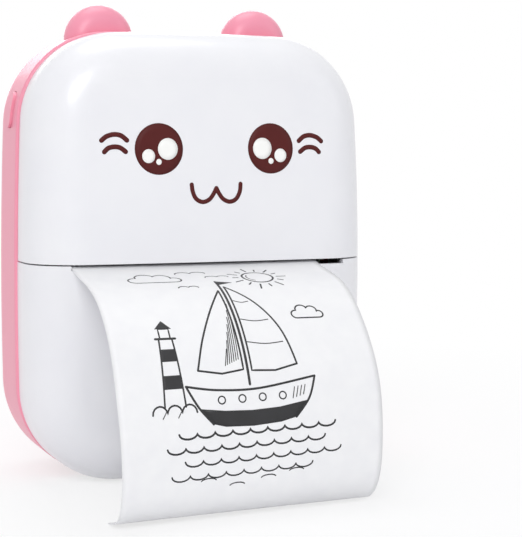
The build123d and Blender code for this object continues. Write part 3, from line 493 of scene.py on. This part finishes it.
FRONT_Y = -20.5
SLOT_Y = -18.6
PAPER_LEFT, PAPER_WIDTH = -31.75, 57.0
LIP_DROP = 1.12
EXIT_ANGLE = math.radians(8)
CURL_ANGLE = 0.07
SLOT_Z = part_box("paper_web")[0].z / MM + 0.1
LIP_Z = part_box("paper_cover")[0].z / MM - LIP_DROP
LEFT_EDGE = ((14.8, 0.918), (26.3, 0.745), (32.9, 0.473), (35.7, 0.218), (32.9, 0.052))
RIGHT_EDGE = ((11.8, 0.931), (23.0, 0.757), (29.7, 0.535), (31.1, 0.284), (28.3, 0.071))
DOWN_STEPS, ACROSS_STEPS = 181, 41
edges = []
for shares, end_reach in ((LEFT_EDGE, 26.1), (RIGHT_EDGE, 23.1)):
    route = [(SLOT_Y, SLOT_Z), (FRONT_Y + 0.2, LIP_Z)]
    route += [(FRONT_Y - r, share * SLOT_Z) for r, share in shares]
    route.append((FRONT_Y - end_reach, 0.25))
    start_way = (-math.cos(EXIT_ANGLE), -math.sin(EXIT_ANGLE))
    end_way = (math.cos(CURL_ANGLE), -math.sin(CURL_ANGLE))
    edges.append(smooth_edge(route, start_way, end_way, DOWN_STEPS))
PAPER_LENGTH = (edges[0][1] + edges[1][1]) / 2


def on_paper(across, down, lift):
    """Point on the sheet: millimetres from its left edge, down from the slot, and off it."""
    u = across / PAPER_WIDTH
    place = np.clip(down / PAPER_LENGTH, 0, 1) * (DOWN_STEPS - 1)
    index = int(min(place, DOWN_STEPS - 2))
    part = place - index
    ends = [(1 - part) * edge[index] + part * edge[index + 1] for edge, _ in edges]
    ways = [edge[index + 1] - edge[index] for edge, _ in edges]
    y, z = (1 - u) * ends[0] + u * ends[1]
    dy, dz = (1 - u) * ways[0] + u * ways[1]
    size = math.hypot(dy, dz)
    return Vector((PAPER_LEFT + across, y + dz / size * lift, z - dy / size * lift)) * MM


print("paper:", PAPER_WIDTH, "by", round(PAPER_LENGTH, 1), "mm")

# %% [markdown]
# The sheet is a grid of points on both faces, a tenth of a millimetre thick, closed
# round its rim. It takes the place of the plainer strip among the solids.

# %% Build the sheet
HALF_THICKNESS = 0.05
sheet_points, sheet_faces = [], []
for lift in (HALF_THICKNESS, -HALF_THICKNESS):
    for down in np.linspace(0, PAPER_LENGTH, DOWN_STEPS):
        for across in np.linspace(0, PAPER_WIDTH, ACROSS_STEPS):
            sheet_points.append(on_paper(across, down, lift))
layer = DOWN_STEPS * ACROSS_STEPS
for base in (0, layer):
    for i in range(DOWN_STEPS - 1):
        for j in range(ACROSS_STEPS - 1):
            a = base + i * ACROSS_STEPS + j
            sheet_faces.append((a, a + 1, a + 1 + ACROSS_STEPS, a + ACROSS_STEPS))
rim = list(range(ACROSS_STEPS))
rim += [ACROSS_STEPS - 1 + i * ACROSS_STEPS for i in range(1, DOWN_STEPS)]
rim += [layer - 1 - j for j in range(1, ACROSS_STEPS)]
rim += [i * ACROSS_STEPS for i in range(DOWN_STEPS - 2, 0, -1)]
for a, b in zip(rim, rim[1:] + rim[:1]):
    sheet_faces.append((a, b, b + layer, a + layer))
sheet = piece("printed_paper", sheet_points, sheet_faces, finishes["paper"], "casing", "paper")
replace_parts(sheet, "paper_tongue")

# %% [markdown]
# The strip carries a small ink drawing, made up for this model: a sailing boat on the
# waves, with the sun, clouds, gulls and a lighthouse on its rocks. Every line is a thin
# film of ink on the sheet, placed with the sheet's own two numbers, so the drawing bends
# with the paper. Both numbers are in millimetres.

# %% Strokes of the drawing
def arc(across, down, wide, high, start, end, steps=12):
    """Part of an oval between two angles in degrees, 0 to the right and 90 downwards."""
    turns = [math.radians(start + (end - start) * i / steps) for i in range(steps + 1)]
    return [(across + wide * math.cos(t), down + high * math.sin(t)) for t in turns]


def scallops(start, end, down, count, dip):
    """Row of hanging arcs, as a child draws waves."""
    step = (end - start) / count
    line = []
    for i in range(count):
        line += arc(start + (i + 0.5) * step, down, step / 2, dip, 180, 0, 8)[i > 0:]
    return line


def dense(line, longest=0.8):
    """The same line with points at most longest apart, so that it follows the sheet."""
    close = []
    for a, b in zip(line, line[1:]):
        steps = math.ceil(math.dist(a, b) / longest)
        close += [(a[0] + (b[0] - a[0]) * i / steps, a[1] + (b[1] - a[1]) * i / steps)
                  for i in range(steps)]
    return close + [tuple(line[-1])]


strokes, fills = [], []


def stroke(line, width=0.34, bends=0):
    """Adds one stroke; with bends, its corners are joined by a curve."""
    strokes.append((dense(smooth_line(line, bends) if bends else line), width))


for step in range(14):
    turn = 2 * math.pi * step / 14
    inner, outer = 4.5, 5.6 if step % 2 else 6.5
    stroke([(38.6 + r * math.cos(turn), 10.4 + r * math.sin(turn)) for r in (inner, outer)], 0.36)
stroke(arc(38.6, 10.4, 3.4, 3.4, 0, 360, 30), 0.42)
stroke(arc(38.6, 10.4, 2.5, 2.5, 120, 215, 8), 0.22)
for across, down, size in ((15.5, 9.6, 1.0), (44.6, 25.2, 0.62)):
    puffs = ((-4.2, 0.6, 1.7, 95, 265), (-1.7, -1.3, 2.2, 175, 330), (1.8, -0.9, 2.0, 215, 375),
             (4.2, 0.8, 1.5, 255, 445))
    for x, y, r, start, end in puffs:
        stroke(arc(across + x * size, down + y * size, r * size, r * size, start, end, 10), 0.34)
    stroke([(across - 4.3 * size, down + 2.3 * size), (across + 4.2 * size, down + 2.3 * size)])
for across, down, size in ((24.6, 6.2, 1.7), (29.6, 9.4, 1.3), (21.2, 15.4, 1.1)):
    for side in (-1, 1):
        stroke(arc(across + side * size, down, size, size * 0.62, 180 if side < 0 else 360,
                   340 if side < 0 else 200, 8), 0.3)
print("sky strokes:", len(strokes))

# %% [markdown]
# The boat has a mast with a pennant, two sails with seams and a patch of hatching, and a
# hull with four portholes. Its lower part is solid ink.

# %% The boat
stroke([(28.0, 12.6), (28.0, 41.0)], 0.55)
fills.append([(28.0, 12.5), (31.6, 13.5), (28.0, 14.6)])
stroke([(28.9, 15.6), (33.6, 21.6), (37.2, 29.0), (39.0, 37.4)], 0.4, 8)
stroke([(39.0, 37.4), (34.0, 38.5), (28.9, 38.2), (28.9, 15.6)], 0.4)
stroke([(27.1, 17.2), (22.9, 24.4), (19.5, 31.4), (17.4, 37.6)], 0.4, 8)
stroke([(17.4, 37.6), (22.4, 38.5), (27.1, 37.9), (27.1, 17.2)], 0.4)
for down, reach in ((21.0, 32.4), (26.4, 35.2), (32.0, 37.0)):
    stroke([(29.2, down), ((29.2 + reach) / 2, down + 0.6), (reach, down + 0.3)], 0.22, 5)
for step in range(7):
    start = 23.4 + step * 0.5
    stroke([(start, 36.9 - step * 0.2), (start + 0.9, 33.4 - step * 1.9)], 0.2)
stroke([(14.4, 40.6), (21.0, 41.7), (30.0, 41.9), (42.4, 40.2)], 0.45, 8)
stroke([(14.4, 40.6), (16.6, 44.8), (19.4, 48.2)], 0.45, 6)
stroke([(42.4, 40.2), (40.6, 44.6), (37.4, 48.2)], 0.45, 6)
fills.append([(16.9, 45.1), (22.0, 45.8), (28.0, 46.1), (34.0, 45.9), (40.3, 45.0), (37.4, 48.2),
              (34.0, 48.9), (28.0, 49.2), (22.0, 48.9), (19.4, 48.2)])
for across in (21.6, 26.0, 30.4, 34.8):
    stroke(arc(across, 43.7, 0.75, 0.75, 0, 360, 16), 0.28)
for step in range(4):
    stroke([(37.6 + step * 0.8, 42.2 - step * 0.1), (37.0 + step * 0.8, 44.4 - step * 0.2)], 0.2)
print("strokes with the boat:", len(strokes))

# %% [markdown]
# The lighthouse leans inwards as it rises, so its black bands are cut to the same slope.
# Four rows of waves close the drawing below. All the strokes and filled shapes become one
# piece of black ink.

# %% The lighthouse, its rocks and the waves
stroke([(9.6, 44.4), (10.4, 30.6)], 0.36)
stroke([(14.0, 44.4), (13.2, 30.6)], 0.36)
stroke([(9.7, 30.5), (13.9, 30.5)], 0.5)
TOWER_FOOT, TOWER_RISE, TOWER_LEAN = 44.4, 13.8, 0.8
for top, bottom in ((32.8, 35.4), (38.2, 40.9)):
    lean_top, lean_bottom = [(TOWER_FOOT - down) / TOWER_RISE * TOWER_LEAN for down in (top, bottom)]
    fills.append([(9.6 + lean_top, top), (14.0 - lean_top, top), (14.0 - lean_bottom, bottom),
                  (9.6 + lean_bottom, bottom)])
stroke([(10.7, 30.3), (10.7, 28.2), (12.9, 28.2), (12.9, 30.3)], 0.32)
fills.append([(10.0, 28.2), (11.8, 26.2), (13.6, 28.2)])
stroke(scallops(7.0, 16.2, 45.6, 3, -1.6), 0.36)
for across in (9.0, 12.2):
    stroke([(across, 46.4), (across + 0.8, 45.2)], 0.2)
WAVES = ((12.0, 46.0, 9), (9.4, 43.6, 9), (13.0, 47.2, 9), (10.2, 40.8, 8))
for row, (start, end, count) in enumerate(WAVES):
    stroke(scallops(start, end, 49.6 + 2.6 * row, count, 1.0), 0.4 - 0.03 * row)
for across, down in ((18.0, 58.9), (31.0, 59.6), (37.2, 58.9), (24.2, 60.4)):
    stroke(arc(across, down, 1.6, 0.5, 190, 350, 6), 0.24)
black_ink = matt("black_ink", "1B1B1D", "242427", 0.5, [(0.0003, 0.000004, 0.3, even)])
INK_LOW, INK_HIGH = 0.052, 0.066
inked = [ribbon(line, width, on_paper, INK_LOW, INK_HIGH) for line, width in strokes]
for outline in fills:
    inked.append(film(dense(outline + outline[:1])[:-1], on_paper, INK_LOW, INK_HIGH))
piece("ink_drawing", *gather(inked), black_ink, "casing", "black_plastic")

# %% [markdown]
# The solids of the screws are plain. Real ones have a cross in the head and a thread that
# winds down the shank, so six of them are made again in full inside the same space. The
# head's upper face is a disc with the cross cut out, and the thread is a radius that
# falls and rises once per turn.

# %% Screws with a cross and a thread
def cross_outline(reach, half):
    """Twelve corners of a plus sign."""
    corners = ((reach, -half), (reach, half), (half, half))
    return [(x * math.cos(t) - z * math.sin(t), x * math.sin(t) + z * math.cos(t))
            for t in (0, math.pi / 2, math.pi, 3 * math.pi / 2) for x, z in corners]


def screw(node, body, head, shank, pitch, around=24):
    """Screw along +Y in the box of its node: head height, shank radius and pitch in mm."""
    low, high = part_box(node)
    x, z = (low.x + high.x) / 2 / MM, (low.z + high.z) / 2 / MM
    radius, tip, top = (high.x - low.x) / 2 / MM, low.y / MM, high.y / MM
    neck, point_start = top - head, tip + shank
    rings = [(top, radius * 0.93, 0), (top - head * 0.2, radius, 0),
             (neck + head * 0.1, radius, 0), (neck, radius * 0.96, 0), (neck, shank, 0)]
    turns = int((neck - point_start) / pitch * 5)
    rings += [(neck - (neck - point_start) * (i + 1) / turns, shank, 0.2) for i in range(turns)]
    rings.append((tip, shank * 0.3, 0))
    points, faces = [], []
    for y, size, cut in rings:
        for step in range(around):
            depth = abs(2 * ((y / pitch + step / around) % 1) - 1) * cut
            turn = 2 * math.pi * step / around
            spoke = size * (1 - depth)
            points.append((spoke * math.cos(turn), y, spoke * math.sin(turn)))
    for ring in range(len(rings) - 1):
        for step in range(around):
            a, b = ring * around + step, ring * around + (step + 1) % around
            faces.append((a, b, b + around, a + around))
    faces.append(list(range((len(rings) - 1) * around, len(rings) * around)))
    plus = cross_outline(radius * 0.6, radius * 0.13)
    base = len(points)
    points += [(px, top, pz) for px, pz in plus]
    points += [(px * 0.85, top - head * 0.6, pz * 0.85) for px, pz in plus]
    flat = [[Vector((px, pz, 0)) for px, _, pz in points[:around]],
            [Vector((px, pz, 0)) for px, pz in plus]]
    for face in tessellate_polygon(flat):
        faces.append([v if v < around else base + v - around for v in face])
    count = len(plus)
    for step in range(count):
        a, b = base + step, base + (step + 1) % count
        faces.append((a, b, b + count, a + count))
    faces.append(list(range(base + count, base + 2 * count)))
    points = [((px + x) * MM, y * MM, (pz + z) * MM) for px, y, pz in points]
    finish = finishes["dark_steel"]
    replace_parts(piece(node + "_threaded", points, faces, finish, body, "dark_steel", False), node)


CASE_SCREW = {"head": 1.3, "shank": 0.95, "pitch": 0.9}
CARRIER_SCREW = {"head": 0.8, "shank": 0.8, "pitch": 0.6}
for side in ("left", "right"):
    screw("case_screw_lower_" + side, "casing", **CASE_SCREW)
    screw("case_screw_upper_" + side, "casing", **CASE_SCREW)
    screw("carrier_screw_" + side, "cover", **CARRIER_SCREW)


# %% [markdown]
# The board carries rows of small parts and the chips stand on legs. They all repeat one
# form, so one Geometry Nodes tree puts a form on every point of a mesh, makes it real
# geometry and gives it its finish. The result is turned into a plain mesh.

# %% Tree that repeats a form
def repeat_tree():
    """Node tree: instances of Form on the points of Places, made real, with a Finish."""
    tree = bpy.data.node_groups.new("repeat_form", "GeometryNodeTree")
    for label, way, kind in (("Places", "INPUT", "Geometry"), ("Form", "INPUT", "Object"),
                             ("Finish", "INPUT", "Material"), ("Result", "OUTPUT", "Geometry")):
        tree.interface.new_socket(name=label, in_out=way, socket_type="NodeSocket" + kind)
    source, target, form, instances, real, finish = [tree.nodes.new(kind) for kind in (
        "NodeGroupInput", "NodeGroupOutput", "GeometryNodeObjectInfo",
        "GeometryNodeInstanceOnPoints", "GeometryNodeRealizeInstances", "GeometryNodeSetMaterial")]
    for start, end in ((source.outputs["Places"], instances.inputs["Points"]),
                       (source.outputs["Form"], form.inputs["Object"]),
                       (form.outputs["Geometry"], instances.inputs["Instance"]),
                       (instances.outputs["Instances"], real.inputs["Geometry"]),
                       (real.outputs["Geometry"], finish.inputs["Geometry"]),
                       (source.outputs["Finish"], finish.inputs["Material"]),
                       (finish.outputs["Geometry"], target.inputs["Result"])):
        tree.links.new(start, end)
    return tree


repeat = repeat_tree()
print("nodes in the tree:", len(repeat.nodes))


def chamfered_block(wide, deep, high, edge):
    """Small block with cut edges, standing on the board and rising towards -Y, in mm."""
    points = []
    for y, inset in ((0.0, 0.0), (edge - deep, 0.0), (-deep, edge)):
        x, z = wide / 2 - inset, high / 2 - inset
        points += [(-x, y, -z), (x, y, -z), (x, y, z), (-x, y, z)]
    faces = [(0, 1, 2, 3), (8, 9, 10, 11)]
    for base in (0, 4):
        for i in range(4):
            j = (i + 1) % 4
            faces.append((base + i, base + j, base + 4 + j, base + 4 + i))
    return points, faces


def repeated(name, form, places, material, slot):
    """One plain mesh with the form at every place, riding on the casing."""
    form_mesh = bpy.data.meshes.new(name + "_form")
    points, faces = form
    form_mesh.from_pydata([[c * MM for c in p] for p in points], [], faces)
    form_object = bpy.data.objects.new(name + "_form", form_mesh)
    place_mesh = bpy.data.meshes.new(name + "_places")
    place_mesh.from_pydata([[c * MM for c in p] for p in places], [], [])
    holder = bpy.data.objects.new(name + "_places", place_mesh)
    bpy.context.scene.collection.objects.link(holder)
    modifier = holder.modifiers.new("repeat", "NODES")
    modifier.node_group = repeat
    sockets = {item.name: item.identifier for item in repeat.interface.items_tree}
    modifier[sockets["Form"]] = form_object
    modifier[sockets["Finish"]] = material
    graph = bpy.context.evaluated_depsgraph_get()
    plain = bpy.data.meshes.new_from_object(holder.evaluated_get(graph))
    points = [tuple(v.co) for v in plain.vertices]
    faces = [tuple(p.vertices) for p in plain.polygons]
    bpy.data.objects.remove(holder)
    bpy.data.objects.remove(form_object)
    bpy.data.meshes.remove(plain)
    piece(name, points, faces, material, "casing", slot, False)


# %% [markdown]
# The small parts stand in even rows on the board's front, clear of the battery's foam
# pad, the chips and the port. The legs stand along the upper and lower edge of each chip.

# %% Small parts and legs on the board
board_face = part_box("main_board")[0].y / MM
part_rows = [(x, z) for z in (37.7, 40.2) for x in np.arange(-20.4, -12.0, 1.7)]
part_rows += [(x, z) for z in (37.7, 40.2) for x in np.arange(-3.2, 6.0, 1.7)]
part_rows += [(x, z) for z in (37.4, 39.0, 40.6) for x in np.arange(15.2, 30.0, 2.1)]
part_rows += [(x, z) for x in (-29.6, -26.8, -24.0) for z in np.arange(20.0, 35.0, 1.9)]
repeated("board_parts", chamfered_block(1.0, 0.5, 0.5, 0.06),
         [(x, board_face, z) for x, z in part_rows], finishes["ceramic"], "ceramic")
legs = []
for chip in ("controller_chip", "driver_chip"):
    chip_low, chip_high = [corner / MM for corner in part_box(chip)]
    for x in np.arange(chip_low.x + 0.4, chip_high.x - 0.3, 0.65):
        legs += [(x, board_face, chip_low.z - 0.25), (x, board_face, chip_high.z + 0.25)]
repeated("chip_legs", chamfered_block(0.3, 0.35, 0.7, 0.05), legs, finishes["steel"], "steel")
print("small parts:", len(part_rows), "legs:", len(legs))

# %% [markdown]
# A plain studio: a wide pale floor, a white world and four large lamps. Together they
# light a surface that faces them at about the level at which its colour renders as it is
# written. Away from the printer the floor turns plain white for the eye and for
# reflections, so that it meets the white world with no line, and near the printer it
# keeps the shadow.

# %% Floor
def switch_for_eye(tree):
    """1 for what the camera sees directly, in gloss or through a clear piece, else 0."""
    path = tree.nodes.new("ShaderNodeLightPath")
    last = path.outputs["Is Camera Ray"]
    for ray in ("Is Glossy Ray", "Is Transmission Ray"):
        either = tree.nodes.new("ShaderNodeMath")
        either.operation = "MAXIMUM"
        tree.links.new(last, either.inputs[0])
        tree.links.new(path.outputs[ray], either.inputs[1])
        last = either.outputs[0]
    return last


floor_finish, floor_tree, floor_shader = new_finish(
    "studio_floor", Roughness=0.9, Base_Color=tint("FAFAFB"), Specular_IOR_Level=0.1)
plain_white = floor_tree.nodes.new("ShaderNodeEmission")
place = floor_tree.nodes.new("ShaderNodeTexCoord")
away = floor_tree.nodes.new("ShaderNodeVectorMath")
away.operation = "LENGTH"
floor_tree.links.new(place.outputs["Object"], away.inputs[0])
fade = floor_tree.nodes.new("ShaderNodeMath")
fade.operation = "MULTIPLY"
between(floor_tree, away.outputs["Value"], 0.7, 1.0, fade.inputs[0], 0.08, 0.24)
floor_tree.links.new(switch_for_eye(floor_tree), fade.inputs[1])
floor_mix = floor_tree.nodes.new("ShaderNodeMixShader")
floor_tree.links.new(fade.outputs[0], floor_mix.inputs["Fac"])
floor_tree.links.new(floor_shader.outputs[0], floor_mix.inputs[1])
floor_tree.links.new(plain_white.outputs[0], floor_mix.inputs[2])
floor_tree.links.new(floor_mix.outputs[0], floor_tree.nodes["Material Output"].inputs["Surface"])
floor_mesh = bpy.data.meshes.new("studio_floor")
reach = 3.0
floor_mesh.from_pydata([(x, y, -0.00005) for x, y in
                        ((-reach, -reach), (reach, -reach), (reach, reach), (-reach, reach))],
                       [], [(0, 1, 2, 3)])
floor_mesh.materials.append(floor_finish)
floor = bpy.data.objects.new("studio_floor", floor_mesh)
bpy.context.scene.collection.objects.link(floor)
print("floor:", 2 * reach, "m square")


# %% [markdown]
# The key lamp stands to the left of the camera and well above it, and a weak lamp
# fills the right side. One lamp lights the top and one the back. The world gives a soft
# even light, and shows as plain white behind the printer.

# %% Lamps and world
def lamp(name, place, aim, size, power):
    """Large soft lamp that looks at a point."""
    data = bpy.data.lights.new(name, "AREA")
    data.shape = "DISK"
    data.size = size
    data.energy = power
    made = bpy.data.objects.new(name, data)
    made.location = place
    made.rotation_euler = (Vector(aim) - Vector(place)).to_track_quat("-Z", "Y").to_euler()
    bpy.context.scene.collection.objects.link(made)


middle = (0, 0, 0.05)
lamp("key_lamp", (-0.42, -0.8, 0.62), middle, 0.5, 4.0)
lamp("fill_lamp", (0.7, -0.5, 0.4), middle, 0.5, 0.35)
lamp("top_lamp", (0.0, 0.15, 0.9), middle, 0.6, 2.3)
lamp("rear_lamp", (0.2, 0.9, 0.35), middle, 0.6, 2.2)

world = bpy.data.worlds.new("studio_world")
bpy.context.scene.world = world
world.use_nodes = True
world_tree = world.node_tree
soft = world_tree.nodes["Background"]
soft.inputs["Color"].default_value = (0.97, 0.98, 1.0, 1)
soft.inputs["Strength"].default_value = 0.47
white = world_tree.nodes.new("ShaderNodeBackground")
white.inputs["Color"].default_value = (1, 1, 1, 1)
white.inputs["Strength"].default_value = 1.0
choice = world_tree.nodes.new("ShaderNodeMixShader")
world_tree.links.new(switch_for_eye(world_tree), choice.inputs["Fac"])
world_tree.links.new(soft.outputs[0], choice.inputs[1])
world_tree.links.new(white.outputs[0], choice.inputs[2])
world_tree.links.new(choice.outputs[0], world_tree.nodes["World Output"].inputs["Surface"])
bpy.context.scene.view_settings.view_transform = "Standard"
